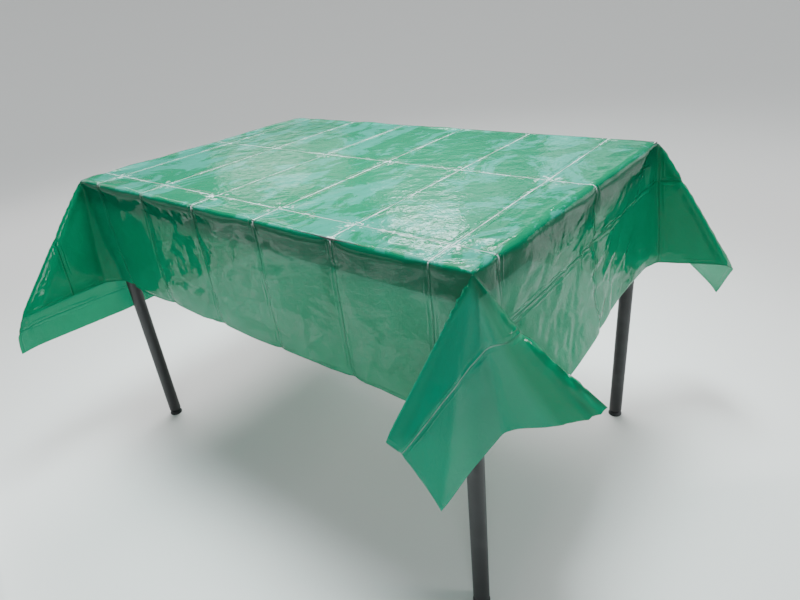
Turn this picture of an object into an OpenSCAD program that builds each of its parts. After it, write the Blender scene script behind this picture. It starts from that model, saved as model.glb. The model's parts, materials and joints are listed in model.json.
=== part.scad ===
// Thin film tablecloth spread over a four-legged table with a bolted steel frame.
// Millimetres, +Z up. The origin is on the floor, midway between the four legs.
// +X runs along the table's length and -Y is the front long side.

/* [Table top] */
// Height of the table top's upper face above the floor
table_h = 740; // [560:5:960]
// Length of the table top, edge strips included
top_len = 1160; // [900:5:1450]
// Width of the table top, edge strips included
top_wid = 745; // [560:5:950]
// Thickness of the chipboard core
core_t = 22; // [16:1:38]
// Thickness of the laminate on each face of the core
laminate_t = 1; // [0.5:0.1:2]
// Thickness of the plastic strips round the board's edges
edge_t = 2; // [1:0.5:4]

/* [Legs and rails] */
// Outer diameter of the leg tubes
leg_d = 32; // [25:1:45]
// Wall thickness of the leg tubes
leg_wall = 1.5; // [1:0.1:3]
// Distance from the table's edge to the outside of a leg
leg_edge_gap = 12; // [9:1:60]
// Height of the rail tubes
rail_h = 40; // [32:1:60]
// Width of the rail tubes
rail_w = 20; // [16:1:24]
// Wall thickness of the rail tubes
rail_wall = 1.5; // [1:0.1:2.5]
// Side of the square mounting plate on top of each leg
plate_size = 80; // [70:1:120]
// Thickness of the mounting plates
plate_t = 3; // [2:0.5:5]

/* [Fasteners] */
// Thread diameter of the bolts that hold the rails to the legs
bolt_d = 6; // [5:1:8]
// Head diameter of those bolts
bolt_head_d = 10; // [9:0.5:14]
// Head height of those bolts
bolt_head_h = 6; // [3:0.5:8]
// Length of the threaded block in each rail end
nut_len = 20; // [12:1:30]
// Space between a leg's axis and the threaded block in the rail
nut_setback = 26; // [24:1:40]
// Thread diameter of the wood screws in the mounting plates
screw_d = 4.5; // [3:0.5:6]
// Head diameter of the wood screws
screw_head_d = 9; // [7:0.5:12]
// Length of the wood screws from the head's face to the point
screw_len = 18; // [12:1:20]

/* [Levelling feet] */
// Diameter of the foot pads
pad_d = 34; // [28:1:60]
// Height of the foot pads
pad_h = 8; // [7:1:14]
// Thread diameter of the foot studs
stud_d = 8; // [6:1:10]
// Length of stud above its hexagon
stud_len = 36; // [28:1:50]
// Width across the flats of the stud's hexagon
hex_af = 13; // [10:1:17]
// Height of the stud's hexagon
hex_h = 5; // [3:1:8]
// Depth of the insert inside the leg tube
insert_depth = 20; // [12:1:30]
// Thickness of the insert's flange under the leg tube
insert_flange_t = 3; // [2:0.5:5]

/* [Tablecloth] */
// Length of the cloth laid flat
cloth_len = 1830; // [1700:10:2200]
// Width of the cloth laid flat
cloth_wid = 1370; // [1250:10:1700]
// Thickness of the solid that stands for the film
film_t = 2; // [1:0.5:4]
// How far the cloth lies off the table's middle towards the left end
cloth_left_shift = 41; // [0:1:60]
// How far the cloth lies off the table's middle towards the back
cloth_back_shift = 35; // [0:1:50]

/* [Clearances] */
// Space between the cloth's underside and the table top
cloth_lift = 0.3; // [0.2:0.1:1]
// Space between the cloth's inside and the table's edge
cloth_side_gap = 1.5; // [1:0.5:6]
// Radial space round the bolts and screws in plain holes
hole_clear = 0.2; // [0.1:0.05:0.5]
// Radial space round the stud in the insert and in the pad
stud_clear = 0.05; // [0.02:0.01:0.1]
// Space between the pad and the stud's hexagon
pad_gap = 0.2; // [0.1:0.1:0.5]
// Space between the stud's hexagon and the insert with the foot screwed in
foot_gap = 0.8; // [0.3:0.1:2]

/* [Hidden] */
$fn = 64;
end_names = ["front_left", "front_right", "back_right", "back_left"];
side_names = ["front", "back", "left", "right"];

cut = 1;                                  // overrun of a cut past the face it opens
film_colour = "#1f9a6c";
steel_colour = "#161618";
zinc_colour = "#b9bcc0";

// Table top levels
board_t = core_t + 2 * laminate_t;
board_under = table_h - board_t;
core_len = top_len - 2 * edge_t;
core_wid = top_wid - 2 * edge_t;

// Leg places: one sign pair per corner, in the order of end_names
leg_r = leg_d / 2;
leg_bore_r = leg_r - leg_wall;
leg_x = top_len / 2 - leg_edge_gap - leg_r;
leg_y = top_wid / 2 - leg_edge_gap - leg_r;
corner_signs = [[-1, -1], [1, -1], [1, 1], [-1, 1]];

// Frame levels
rail_top = board_under - plate_t;
rail_mid = rail_top - rail_h / 2;
bolt_stagger = 9;                         // long-rail bolts pass above the short-rail bolts
nut_block_h = rail_h - 2 * rail_wall;
nut_block_w = rail_w - 2 * rail_wall;
bolt_short = 4;                           // the bolt stops short of the block's far face
bolt_end = nut_setback + nut_len - bolt_short;
screw_spots = [[30, 30], [54, 26], [26, 54]];   // from the leg's outside, for each plate
plate_trim = 0.35;                        // share of the plate's side cut off its inner corner

// Foot levels
pin_share = 0.75;                         // the pin under the hexagon, as a share of the thread
pin_d = stud_d * pin_share;
pin_len = 5;
pad_skirt_h = 3;                          // upright part of the pad's side
pad_slope = 5;                            // how far the pad's side leans in above it
hex_z = pad_h + pad_gap;
insert_z = hex_z + hex_h + foot_gap;
leg_z = insert_z + insert_flange_t;

// Cloth planes: middle of the film's thickness
cloth_x = top_len / 2 + cloth_side_gap + film_t / 2;
cloth_y = top_wid / 2 + cloth_side_gap + film_t / 2;
cloth_z = table_h + cloth_lift + film_t / 2;
drop_left = cloth_len / 2 - cloth_x + cloth_left_shift;
drop_right = cloth_len / 2 - cloth_x - cloth_left_shift;
drop_front = cloth_wid / 2 - cloth_y - cloth_back_shift;
drop_back = cloth_wid / 2 - cloth_y + cloth_back_shift;
reach_x = cloth_x + 0.61 * drop_right;    // furthest point of the ears to each end
reach_y = cloth_y + 0.985 * drop_front;   // furthest point of the ears to the front and back

// A flat piece of film through the given points, which lie in one plane
module film_panel(points) {
  hull() for (p = points) translate(p) cube(film_t, center = true);
}

// The film lies flat on the table and hangs down on all four sides.
// At each corner the spare cloth stands out as an ear of flat facets.
module tablecloth() {
  fl = [-cloth_x, -cloth_y, cloth_z];
  fr = [cloth_x, -cloth_y, cloth_z];
  br = [cloth_x, cloth_y, cloth_z];
  bl = [-cloth_x, cloth_y, cloth_z];
  // front left: the left drop runs straight on past the corner, and the front drop folds on to it
  fl_tip = [-cloth_x, -reach_y, cloth_z - drop_left];
  fl_fold = [-cloth_x, -cloth_y - 0.865 * drop_front, cloth_z - 0.75 * drop_left];
  fl_hem = [-cloth_x + 0.11 * drop_left, -cloth_y, cloth_z - 0.98 * drop_front];
  // front right: the ear stands open between two folds
  fr_hem = [cloth_x - 0.36 * drop_right, -cloth_y, cloth_z - drop_front];
  fr_fold_a = fr + [-0.20 * drop_right, -0.57 * drop_front, -0.78 * drop_front];
  fr_tip = fr + [-0.06 * drop_right, -0.32 * drop_front, -1.33 * drop_right];
  fr_dip = fr + [0.07 * drop_right, 0.17 * drop_front, -1.05 * drop_right];
  fr_fold_b = fr + [0.48 * drop_right, 0.38 * drop_front, -0.80 * drop_right];
  fr_side = fr + [0, 0.90 * drop_front, -drop_right];
  // back right: the ear hangs down and outwards
  br_side = br + [0, -0.12 * drop_back, -drop_right];
  br_fold_a = [reach_x, cloth_y + 0.08 * drop_back, cloth_z - 0.98 * drop_right];
  br_tip = br + [0.47 * drop_right, 0.44 * drop_back, -1.37 * drop_right];
  br_fold_b = br + [0.03 * drop_right, 0.48 * drop_back, -0.88 * drop_back];
  br_hem = br + [-0.35 * drop_right, 0, -drop_back];
  // back left: the ear leans backwards and outwards
  bl_side = bl + [0, -0.33 * drop_left, -drop_left];
  bl_fold_a = [-reach_x, cloth_y + 0.50 * drop_back, cloth_z - 0.98 * drop_left];
  bl_tip = [-cloth_x - 0.41 * drop_left, reach_y, cloth_z - 1.08 * drop_left];
  bl_fold_b = bl + [-0.08 * drop_left, 0.70 * drop_back, -0.90 * drop_back];
  bl_hem = bl + [0.25 * drop_left, 0, -drop_back];

  color(film_colour) union() {
    film_panel([fl, fr, br, bl]);
    film_panel([fl, fr, fr_hem, fl_hem]);
    film_panel([fr, br, br_side, fr_side]);
    film_panel([br, bl, bl_hem, br_hem]);
    film_panel([fl, fl_fold, fl_tip, bl_side, bl]);
    film_panel([fl, fl_fold, fl_hem]);
    film_panel([fr, fr_hem, fr_fold_a]);
    film_panel([fr, fr_fold_a, fr_tip]);
    film_panel([fr, fr_tip, fr_dip]);
    film_panel([fr, fr_dip, fr_fold_b]);
    film_panel([fr, fr_fold_b, fr_side]);
    film_panel([br, br_side, br_fold_a]);
    film_panel([br, br_fold_a, br_tip]);
    film_panel([br, br_tip, br_fold_b]);
    film_panel([br, br_fold_b, br_hem]);
    film_panel([bl, bl_side, bl_fold_a]);
    film_panel([bl, bl_fold_a, bl_tip]);
    film_panel([bl, bl_tip, bl_fold_b]);
    film_panel([bl, bl_fold_b, bl_hem]);
  }
}

// A block centred on the Z axis, from z up
module slab(len, wid, t, z) {
  translate([-len / 2, -wid / 2, z]) cube([len, wid, t]);
}

// Upright cylinders at every screw of the four mounting plates, from z up
module at_screws(r, h, z) {
  for (s = corner_signs, p = screw_spots)
    translate([s[0] * (leg_x + leg_r - p[0]), s[1] * (leg_y + leg_r - p[1]), z])
      cylinder(r = r, h = h);
}

module top_laminate() {
  color("#cfc6b4") slab(core_len, core_wid, laminate_t, table_h - laminate_t);
}

module board_core() {
  color("#b89a6b") difference() {
    slab(core_len, core_wid, core_t, board_under + laminate_t);
    at_screws(screw_d / 2, screw_len + cut, board_under + laminate_t - cut);
  }
}

module backing_laminate() {
  color("#d8d4cb") difference() {
    slab(core_len, core_wid, laminate_t, board_under);
    at_screws(screw_d / 2 + hole_clear, laminate_t + 2 * cut, board_under - cut);
  }
}

// Front and back strips cover the core; the end strips also cover their ends
module edge_strip(side) {
  color("#3a3a3c")
    if (side == "front") translate([-core_len / 2, -top_wid / 2, board_under])
      cube([core_len, edge_t, board_t]);
    else if (side == "back") translate([-core_len / 2, core_wid / 2, board_under])
      cube([core_len, edge_t, board_t]);
    else if (side == "left") translate([-top_len / 2, -top_wid / 2, board_under])
      cube([edge_t, top_wid, board_t]);
    else translate([core_len / 2, -top_wid / 2, board_under])
      cube([edge_t, top_wid, board_t]);
}

// A rectangular tube along X, centred, whose ends are hollowed to sit on the round legs
module rail_tube(half_span) {
  difference() {
    translate([-half_span, -rail_w / 2, rail_top - rail_h]) cube([2 * half_span, rail_w, rail_h]);
    translate([-half_span - cut, -rail_w / 2 + rail_wall, rail_top - rail_h + rail_wall])
      cube([2 * (half_span + cut), nut_block_w, nut_block_h]);
    for (s = [-1, 1]) translate([s * half_span, 0, rail_top - rail_h - cut])
      cylinder(r = leg_r, h = rail_h + 2 * cut);
  }
}

module rail(side) {
  color(steel_colour)
    if (side == "front") translate([0, -leg_y, 0]) rail_tube(leg_x);
    else if (side == "back") translate([0, leg_y, 0]) rail_tube(leg_x);
    else if (side == "left") translate([-leg_x, 0, 0]) rotate(90) rail_tube(leg_y);
    else translate([leg_x, 0, 0]) rotate(90) rail_tube(leg_y);
}

// Cylinders along the line of each rail bolt, from start to end measured inwards from the leg's axis
module at_bolts(r, start, end) {
  for (s = corner_signs) {
    translate([s[0] * (leg_x - start), s[1] * leg_y, rail_mid + bolt_stagger])
      rotate([0, -90 * s[0], 0]) cylinder(r = r, h = end - start);
    translate([s[0] * leg_x, s[1] * (leg_y - start), rail_mid - bolt_stagger])
      rotate([90 * s[1], 0, 0]) cylinder(r = r, h = end - start);
  }
}

// A leg tube that stands on the insert's flange and ends under its mounting plate
module leg(s) {
  color(steel_colour) difference() {
    translate([s[0] * leg_x, s[1] * leg_y, leg_z]) difference() {
      cylinder(r = leg_r, h = rail_top - leg_z);
      translate([0, 0, -cut]) cylinder(r = leg_bore_r, h = rail_top - leg_z + 2 * cut);
    }
    at_bolts(bolt_d / 2 + hole_clear, -leg_r - cut, leg_r + cut);
  }
}

// Square plate with its inner corner cut away, drilled and countersunk for three screws
module mounting_plate(s) {
  far = plate_size - leg_r;
  trim = plate_size * plate_trim;
  color(steel_colour) difference() {
    translate([s[0] * leg_x, s[1] * leg_y, rail_top]) mirror([s[0] > 0 ? 1 : 0, 0, 0])
      mirror([0, s[1] > 0 ? 1 : 0, 0]) linear_extrude(plate_t)
        polygon([[-leg_r, -leg_r], [far, -leg_r], [far, far - trim],
                 [far - trim, far], [-leg_r, far]]);
    at_screws(screw_d / 2 + hole_clear, plate_t + 2 * cut, rail_top - cut);
    screw_heads(hole_clear);
  }
}

// The countersunk cones of all the wood screws, flush with the plates' undersides
module screw_heads(clear) {
  cone_h = (screw_head_d - screw_d) / 2;
  for (s = corner_signs, p = screw_spots)
    translate([s[0] * (leg_x + leg_r - p[0]), s[1] * (leg_y + leg_r - p[1]), rail_top])
      cylinder(r1 = screw_head_d / 2 + clear, r2 = screw_d / 2 + clear, h = cone_h);
}

module plate_screws() {
  color(zinc_colour) {
    screw_heads(0);
    at_screws(screw_d / 2, screw_len - plate_t, board_under - plate_t / 2);
  }
}

module rail_end_nuts() {
  block = [nut_len, nut_block_w, nut_block_h];
  color(zinc_colour) difference() {
    for (s = corner_signs) {
      translate([s[0] * (leg_x - nut_setback - nut_len / 2), s[1] * leg_y, rail_mid])
        cube(block, center = true);
      translate([s[0] * leg_x, s[1] * (leg_y - nut_setback - nut_len / 2), rail_mid])
        cube([block[1], block[0], block[2]], center = true);
    }
    at_bolts(bolt_d / 2, nut_setback - cut, nut_setback + nut_len + cut);
  }
}

module rail_bolts() {
  color(zinc_colour) {
    at_bolts(bolt_d / 2, -leg_r, bolt_end);
    at_bolts(bolt_head_d / 2, -leg_r - bolt_head_h, -leg_r);
  }
}

// Plug pressed into the leg's lower end, threaded for the stud
module foot_insert(s) {
  color("#202022") translate([s[0] * leg_x, s[1] * leg_y, insert_z]) difference() {
    union() {
      cylinder(r = leg_r, h = insert_flange_t);
      cylinder(r = leg_bore_r, h = insert_flange_t + insert_depth);
    }
    translate([0, 0, -cut])
      cylinder(r = stud_d / 2 + stud_clear, h = insert_flange_t + insert_depth + 2 * cut);
  }
}

// Threaded stud with a hexagon for a spanner and a pin that turns in the pad
module foot_stud(s) {
  color(zinc_colour) translate([s[0] * leg_x, s[1] * leg_y, 0]) union() {
    translate([0, 0, hex_z + hex_h]) cylinder(r = stud_d / 2, h = stud_len);
    translate([0, 0, hex_z]) cylinder(r = hex_af / 2 / cos(30), h = hex_h, $fn = 6);
    translate([0, 0, hex_z - pin_len]) cylinder(r = pin_d / 2, h = pin_len);
  }
}

// Round pad that stands on the floor
module foot_pad(s) {
  socket_z = hex_z - pin_len - pad_gap;
  color("#202022") translate([s[0] * leg_x, s[1] * leg_y, 0]) difference() {
    union() {
      cylinder(r = pad_d / 2, h = pad_skirt_h);
      translate([0, 0, pad_skirt_h])
        cylinder(r1 = pad_d / 2, r2 = pad_d / 2 - pad_slope, h = pad_h - pad_skirt_h);
    }
    translate([0, 0, socket_z]) cylinder(r = pin_d / 2 + stud_clear, h = pad_h - socket_z + cut);
  }
}

tablecloth();
top_laminate();
board_core();
backing_laminate();
for (side = side_names) {
  edge_strip(side);
  rail(side);
}
for (i = [0:3]) {
  leg(corner_signs[i]);
  mounting_plate(corner_signs[i]);
  foot_insert(corner_signs[i]);
  foot_stud(corner_signs[i]);
  foot_pad(corner_signs[i]);
}
rail_end_nuts();
rail_bolts();
plate_screws();
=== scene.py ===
"""Thin green film tablecloth spread over a steel-framed table.

The cloth is worked out on a grid whose points carry their place on the flat sheet. Each corner of
the table is the tip of a cone of film, so the first shape is already unstretched; a relaxation then
lets the film hang, keeps its lengths and keeps it off the table. Folds and crumples come last.
Lengths are metres, in the table's own frame: +X along the table, -Y the front side, +Z up.
"""

import json
import logging
import math
from dataclasses import dataclass, field
from enum import Enum
from typing import Optional, Union

import bpy
import numpy as np
from mathutils import Matrix, Vector


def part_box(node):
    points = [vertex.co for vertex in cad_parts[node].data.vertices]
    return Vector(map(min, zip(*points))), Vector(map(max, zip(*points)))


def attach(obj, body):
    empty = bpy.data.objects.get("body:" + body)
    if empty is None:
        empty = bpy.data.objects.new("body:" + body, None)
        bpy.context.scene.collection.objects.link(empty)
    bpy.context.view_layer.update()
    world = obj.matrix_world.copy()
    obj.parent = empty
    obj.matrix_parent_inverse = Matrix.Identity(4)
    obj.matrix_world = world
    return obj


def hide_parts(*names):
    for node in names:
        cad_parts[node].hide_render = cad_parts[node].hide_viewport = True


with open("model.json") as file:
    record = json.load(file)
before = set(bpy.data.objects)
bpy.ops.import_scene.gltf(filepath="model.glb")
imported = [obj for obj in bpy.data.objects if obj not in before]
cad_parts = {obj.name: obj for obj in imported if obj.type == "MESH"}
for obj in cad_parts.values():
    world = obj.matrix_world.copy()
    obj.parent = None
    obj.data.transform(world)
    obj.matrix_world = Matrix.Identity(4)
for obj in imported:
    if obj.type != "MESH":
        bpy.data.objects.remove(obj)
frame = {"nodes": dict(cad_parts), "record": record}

LOG = logging.getLogger("tablecloth")
FLAT_MAP = "flat_sheet"
TINY = 1e-9  # keeps a quotient's lower part from being zero
Array = np.ndarray
Colour = tuple[float, float, float]
Direction = tuple[float, float, float]


def linked(name: str, data: bpy.types.ID) -> bpy.types.Object:
    """Puts a new object that holds the mesh, light or camera into the scene, at the origin.

    Args:
        name: the object's name.
        data: what it holds.

    Returns:
        The new object.
    """
    made = bpy.data.objects.new(name, data)
    bpy.context.scene.collection.objects.link(made)
    return made


def grid_faces(rows: int, cols: int) -> Array:
    """Corners of the cells of a grid whose points are counted row by row, four to a cell.

    The cell of row r and column c has the corners k, k + 1, k + cols + 1 and k + cols, with
    k = r cols + c.

    Args:
        rows: number of rows of points.
        cols: number of points in a row.

    Returns:
        Point numbers, as (cells, 4).
    """
    corner = (np.arange(rows - 1)[:, None] * cols + np.arange(cols - 1)).ravel()
    return np.stack([corner, corner + 1, corner + cols + 1, corner + cols], -1)


def grid_mesh(name: str, points: Array, material: bpy.types.Material) -> bpy.types.Mesh:
    """Makes a smooth mesh over a grid of points.

    Args:
        name: the mesh's name.
        points: the grid's points, as (rows, columns, 3).
        material: its one material.

    Returns:
        The mesh, whose points and faces are in the grid's order.
    """
    faces = grid_faces(*points.shape[:2])
    mesh = bpy.data.meshes.new(name)
    mesh.vertices.add(points.shape[0] * points.shape[1])
    mesh.loops.add(faces.size)
    mesh.polygons.add(len(faces))
    mesh.vertices.foreach_set("co", points.astype(np.float32).ravel())
    mesh.loops.foreach_set("vertex_index", faces.ravel().astype(np.int32))
    mesh.polygons.foreach_set("loop_start", np.arange(0, faces.size, 4, dtype=np.int32))
    mesh.update(calc_edges=True)
    mesh.polygons.foreach_set("use_smooth", np.ones(len(faces), bool))
    mesh.materials.append(material)
    return mesh


# --------------------------------------------------------------------------- shader maths


WHOLE_TURNS = 1000  # added before a Fraction node, to keep what it reads above zero


class Sock:
    """A shader socket that can be added, multiplied and compared in Python expressions."""

    def __init__(self, graph: "Graph", socket: bpy.types.NodeSocket) -> None:
        """Remembers the graph and the output socket."""
        self.graph = graph
        self.socket = socket

    def _math(self, operation: str, *values: Union["Sock", float]) -> "Sock":
        """One Math node of the given operation on the values."""
        return self.graph.node("ShaderNodeMath", dict(enumerate(values)), operation=operation)

    def __add__(self, other: Union["Sock", float]) -> "Sock":
        """Sum."""
        return self._math("ADD", self, other)

    __radd__ = __add__

    def __sub__(self, other: Union["Sock", float]) -> "Sock":
        """Difference."""
        return self._math("SUBTRACT", self, other)

    def __rsub__(self, other: float) -> "Sock":
        """Difference from a number."""
        return self._math("SUBTRACT", other, self)

    def __mul__(self, other: Union["Sock", float]) -> "Sock":
        """Product."""
        return self._math("MULTIPLY", self, other)

    __rmul__ = __mul__

    def __truediv__(self, other: Union["Sock", float]) -> "Sock":
        """Quotient."""
        return self._math("DIVIDE", self, other)

    def __abs__(self) -> "Sock":
        """Size without sign."""
        return self._math("ABSOLUTE", self)

    def low(self, other: Union["Sock", float]) -> "Sock":
        """The smaller of two values."""
        return self._math("MINIMUM", self, other)

    def high(self, other: Union["Sock", float]) -> "Sock":
        """The larger of two values."""
        return self._math("MAXIMUM", self, other)

    def to_line(self, spacing: float, first: float) -> "Sock":
        """Distance to the nearest of evenly spaced lines: |((v - first)/spacing + 1/2) mod 1 - 1/2|."""
        turns = self._math("FRACT", (self - first) / spacing + (WHOLE_TURNS + 0.5))
        return abs(turns - 0.5) * spacing

    def step(self, start: float, end: float) -> "Sock":
        """Smooth step from 0 at start to 1 at end."""
        return self.graph.node("ShaderNodeMapRange", {0: self, 1: start, 2: end, 3: 0.0, 4: 1.0},
                               interpolation_type="SMOOTHSTEP")


@dataclass(frozen=True)
class Pattern:
    """Settings of a fractal noise."""

    scale: float
    detail: float = 3.0
    rough: float = 0.5
    distortion: float = 0.0


@dataclass
class Graph:
    """The node tree of a material or of the surroundings, with one way to add any node."""

    owner: Union[bpy.types.Material, bpy.types.World]

    @classmethod
    def start(cls, owner: Union[bpy.types.Material, bpy.types.World]) -> "Graph":
        """The owner's tree, emptied."""
        owner.use_nodes = True
        owner.node_tree.nodes.clear()
        return cls(owner)

    @classmethod
    def material(cls, name: str) -> "Graph":
        """The empty tree of a new material."""
        return cls.start(bpy.data.materials.new(name))

    def node(self, kind: str, values: Optional[dict] = None, out: Union[int, str] = 0,
             **settings: Union[str, float]) -> Sock:
        """Adds a node.

        Args:
            kind: Blender's name of the node's type.
            values: socket name or number to a value or a Sock.
            out: name or number of the output that is returned.
            settings: the node's own settings, which are set before its sockets.

        Returns:
            The output, as a Sock.
        """
        tree = self.owner.node_tree
        node = tree.nodes.new(kind)
        for key, value in settings.items():
            setattr(node, key, value)
        for key, value in (values or {}).items():
            if isinstance(value, Sock):
                tree.links.new(value.socket, node.inputs[key])
            else:
                node.inputs[key].default_value = value
        return Sock(self, node.outputs[out])

    def place(self) -> Sock:
        """Object coordinates of the shaded point."""
        return self.node("ShaderNodeTexCoord", out="Object")

    def split(self, vector: Sock) -> tuple[Sock, Sock, Sock]:
        """The three parts of a vector, as numbers."""
        parts = self.node("ShaderNodeSeparateXYZ", {0: vector}).socket.node
        return tuple(Sock(self, part) for part in parts.outputs)

    def noise(self, vector: Sock, pattern: Pattern) -> Sock:
        """Fractal noise from 0 to 1."""
        return self.node("ShaderNodeTexNoise", {
            "Vector": vector, "Scale": pattern.scale, "Detail": pattern.detail,
            "Roughness": pattern.rough, "Distortion": pattern.distortion})

    def stretch(self, vector: Sock, scale: Direction, turn: float = 0.0) -> Sock:
        """The vector scaled along each axis, and turned about the third."""
        return self.node("ShaderNodeMapping", {
            "Vector": vector, "Rotation": (0.0, 0.0, turn), "Scale": scale})

    def blend(self, factor: Sock, low: Union[Sock, Colour], high: Union[Sock, Colour]) -> Sock:
        """Colour between two ends.

        Args:
            factor: how far the colour has gone from the first end, from 0 to 1.
            low: the first end.
            high: the other end.

        Returns:
            The colour.
        """
        ends = [end if isinstance(end, Sock) else (*end, 1.0) for end in (low, high)]
        return self.node("ShaderNodeMix", {0: factor, 6: ends[0], 7: ends[1]}, out=2, data_type="RGBA")

    def bump(self, height: Sock, depth: float, under: Optional[Sock] = None) -> Sock:
        """Normal tilted by a height.

        Args:
            height: the height, in units of depth.
            depth: that unit, in metres.
            under: an earlier normal, which this one is laid over.

        Returns:
            The tilted normal.
        """
        values = {"Height": height, "Distance": depth, "Strength": 1.0}
        if under is not None:
            values["Normal"] = under
        return self.node("ShaderNodeBump", values)

    def finish(self, shader: Sock) -> Union[bpy.types.Material, bpy.types.World]:
        """Connects the shader to the tree's output.

        Args:
            shader: the finished shader.

        Returns:
            The tree's owner.
        """
        kind = "World" if isinstance(self.owner, bpy.types.World) else "Material"
        end = self.owner.node_tree.nodes.new("ShaderNodeOutput" + kind)
        self.owner.node_tree.links.new(shader.socket, end.inputs["Surface"])
        return self.owner


# --------------------------------------------------------------------------- finishes


@dataclass(frozen=True)
class FilmFinish:
    """Thin glossy plastic film: green by reflected light, paler where light comes through it.

    Attributes:
        deep, light: the film's two greens.
        glow, through: colour and share of the light that the film passes on.
        tint, clear: colour and share of what is seen straight through the film.
        painted_reflection: painted reflection, the paler green of patches painted on the film on the table.
        painted_light_ear: painted light, the paler green painted on the front right ear, standing in
            for the light that reaches it from both sides.
        shaded: painted shade, the dark green painted on the drops below the table's edge, where no light
            comes through, and along the drops' creases.
        painted_highlight: painted highlight, the whitish green of the glints painted along folds and
            about their crossings.
        shine: strength of the gloss.
        rough, rough_cloud, rough_fold: least roughness, and what clouds and folds add to it.
        fold_width, fold_height: half width and height of a packing fold.
        fold_waver: how far a fold wavers, in fold widths.
        second_fold, second_height: place and height of the ridge beside it, in folds' measures.
        line_levels: distances at which a fold's painted white highlight line thins out and ends, in fold
            widths.
        line_highlight, fleck_highlight, ear_highlight: strength of the painted highlight on fold lines
            outside the patches, on flecks and on the ear's lines.
        star_reach, star_core, fleck_reach: reach of the painted highlight flecks about a crossing of
            folds, and, as shares of it, the reach of their full strength and their reach beside a fold.
        crinkle_height, crinkle_share: height of the fine relief, and the crinkles' share of it.
        haze_share: the haze's share of the mottle of the two greens, against the clouds'.
        reflection_turn, reflection_stretch, reflection_shares: lie of the painted reflection patches,
            and how pale they are.
        ear_light_share, edge_shade_share, crease_shade_share: strength of the painted light on the
            front right ear, of the painted shade below the table's edge and of that along creases.
        lying_levels, upper_levels, edge_shade_levels: heights between which the film turns into film
            that lies on the table, that is near its top and that hangs over its dark edge, where shade
            is painted.
        corner_levels: flat distances past both edges between which the film turns into an ear's.
        patch_levels, chip_levels, reflection_levels, matt_levels: values between which a pattern sets in.
        waver, patched, chips, haze, clouds, loose, crinkle, facets: the patterns; patched and chips
            place the painted highlights, and loose the painted reflection patches.
    """

    deep: Colour = (0.0, 0.150, 0.062)
    light: Colour = (0.0, 0.262, 0.130)
    glow: Colour = (0.0, 0.300, 0.140)
    through: float = 0.34
    tint: Colour = (0.30, 0.80, 0.60)
    clear: float = 0.04
    painted_reflection: Colour = (0.09, 0.47, 0.43)
    painted_light_ear: Colour = (0.0, 0.350, 0.230)
    shaded: Colour = (0.0, 0.050, 0.028)
    painted_highlight: Colour = (0.88, 0.97, 0.95)
    shine: float = 0.27
    rough: float = 0.03
    rough_cloud: float = 0.05
    rough_fold: float = 0.04
    fold_width: float = 0.0030
    fold_height: float = 0.0016
    fold_waver: float = 0.7
    second_fold: float = 3.0
    second_height: float = 0.7
    line_levels: tuple[float, float] = (0.25, 0.65)
    line_highlight: float = 0.35
    fleck_highlight: float = 0.8
    ear_highlight: float = 0.30
    star_reach: float = 0.034
    star_core: float = 0.1
    fleck_reach: float = 0.3
    crinkle_height: float = 0.0013
    crinkle_share: float = 0.45
    haze_share: float = 0.6
    reflection_turn: float = 0.5
    reflection_stretch: Direction = (1.0, 0.62, 1.0)
    reflection_shares: tuple[float, float] = (0.20, 0.50)
    ear_light_share: float = 0.55
    edge_shade_share: float = 0.5
    crease_shade_share: float = 0.45
    lying_levels: tuple[float, float] = (0.736, 0.7415)
    upper_levels: tuple[float, float] = (0.724, 0.7395)
    edge_shade_levels: tuple[float, float] = (0.665, 0.705)
    corner_levels: tuple[float, float] = (0.0, 0.03)
    patch_levels: tuple[float, float] = (0.40, 0.60)
    chip_levels: tuple[float, float] = (0.575, 0.62)
    reflection_levels: tuple[float, float] = (0.50, 0.55)
    matt_levels: tuple[float, float] = (0.4, 0.8)
    waver: Pattern = Pattern(38.0, 2.0)
    patched: Pattern = Pattern(14.0)
    chips: Pattern = Pattern(75.0, 2.0, 0.5, 1.2)
    haze: Pattern = Pattern(5.0, 4.0, 0.6)
    clouds: Pattern = Pattern(26.0, 4.0, 0.65, 0.6)
    loose: Pattern = Pattern(8.0, 9.0, 0.74, 0.9)
    crinkle: Pattern = Pattern(85.0, 2.0, 0.5, 0.8)
    facets: float = 26.0

    def build(self, cut: "ClothCut", table: "TableForm") -> bpy.types.Material:
        """Makes the film's material on the flat sheet's own coordinates.

        Args:
            cut: where the packing folds run on the flat sheet.
            table: the table, whose size places the painted shade below its edge and the painted light
                on the front right ear.

        Returns:
            The material.
        """
        g = Graph.material("green_film")
        flat = g.node("ShaderNodeUVMap", uv_map=FLAT_MAP)
        along, across, _ = g.split(flat)
        to_cross, to_length = self.from_folds(cut, along, across)
        nearest = to_cross.low(to_length)
        # the second ridge wavers twice as much as the fold, and its painted white highlight line half as
        # much
        waver = (g.noise(flat, self.waver) - 0.5) * (self.fold_waver * self.fold_width)
        ridge = 1.0 - (nearest + waver).step(0.0, self.fold_width)
        second = abs(nearest - self.second_fold * self.fold_width + 2.0 * waver)
        second = 1.0 - second.step(0.0, self.fold_width)
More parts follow.
